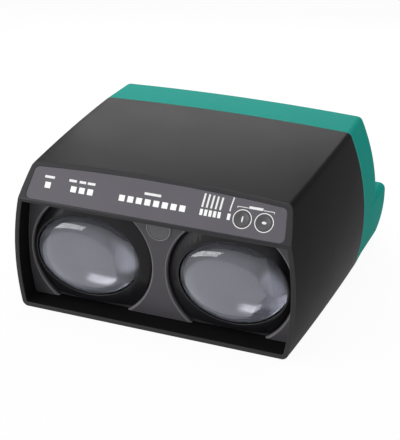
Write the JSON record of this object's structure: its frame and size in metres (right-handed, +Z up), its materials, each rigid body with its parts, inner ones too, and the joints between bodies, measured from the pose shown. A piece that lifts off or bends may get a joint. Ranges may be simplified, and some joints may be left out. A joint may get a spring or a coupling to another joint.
{
  "type": "optical data coupler",
  "caption": "Optical data coupler: black hood with two large lenses and a slanted display strip with push buttons, on a green housing with a mounting foot.",
  "frame": {"origin": "on the floor under the middle of the device, half way between the hood's rim and the foot's back", "axes": "+Z up, +X to the right as seen from the front, the lenses look along -Y"},
  "size_m": [0.183, 0.17, 0.0909],
  "materials": {
    "hood": "fine textured black moulding",
    "housing": "green painted finish with a soft sheen",
    "seal": "dull black",
    "plate": "smooth dark grey moulding",
    "sight": "smoked clear plastic",
    "film": "grey satin film",
    "guide": "milky clear plastic",
    "button": "dark grey soft touch",
    "glass": "clear optical lens with a faint blue coating",
    "tube": "flat black inside",
    "ring": "blackened spring steel",
    "board": "green circuit board",
    "diode": "dark clear plastic",
    "lamp": "small surface mounted lamp",
    "switch": "flat metal switch",
    "connector": "nickel plated brass",
    "contact": "gilt contact",
    "carrier": "black insulator",
    "nut": "plated nut",
    "insert": "plain brass",
    "screw": "zinc plated steel",
    "pillar": "plain brass",
    "ferrite": "dark grey core with winding",
    "can": "aluminium can",
    "chip": "black chip package"
  },
  "bodies": {
    "housing": {"front_hood": "hood", "rear_housing": "housing", "seam_gasket": "seal", "lens_plate": "plate", "sight_window": "sight", "display_film": "film", "display_board": "board", "indicator_lamps": "lamp", "button_switches": "switch", "power_light_guide": "guide", "status_light_guide": "guide", "level_light_guide": "guide", "mode_light_guide": "guide", "link_light_guide": "guide", "transmitter_lens": "glass", "receiver_lens": "glass", "transmitter_lens_ring": "ring", "receiver_lens_ring": "ring", "transmitter_tube": "tube", "receiver_tube": "tube", "transmitter_board": "board", "receiver_board": "board", "transmitter_diode": "diode", "receiver_diode": "diode", "supply_connector": "connector", "supply_pins": "contact", "network_connector": "connector", "network_contact_carrier": "carrier", "connector_gaskets": "seal", "connector_nuts": "nut", "main_board": "board", "board_pillars": "pillar", "filter_choke": "ferrite", "capacitors": "can", "processor": "chip", "mounting_inserts": "insert", "housing_screws": "screw"},
    "set_button_body": {"set_button": "button"},
    "mode_button_body": {"mode_button": "button"}
  },
  "joints": [
    {"name": "set_button_press", "type": "slide", "parent": "housing", "child": "set_button_body", "axis": [0, 0.8111, -0.585], "range_m": [0, 0.0006], "stiffness_N_per_m": 600, "springref_m": -0.0006},
    {"name": "mode_button_press", "type": "slide", "parent": "housing", "child": "mode_button_body", "axis": [0, 0.8111, -0.585], "range_m": [0, 0.0006], "stiffness_N_per_m": 600, "springref_m": -0.0006}
  ]
}
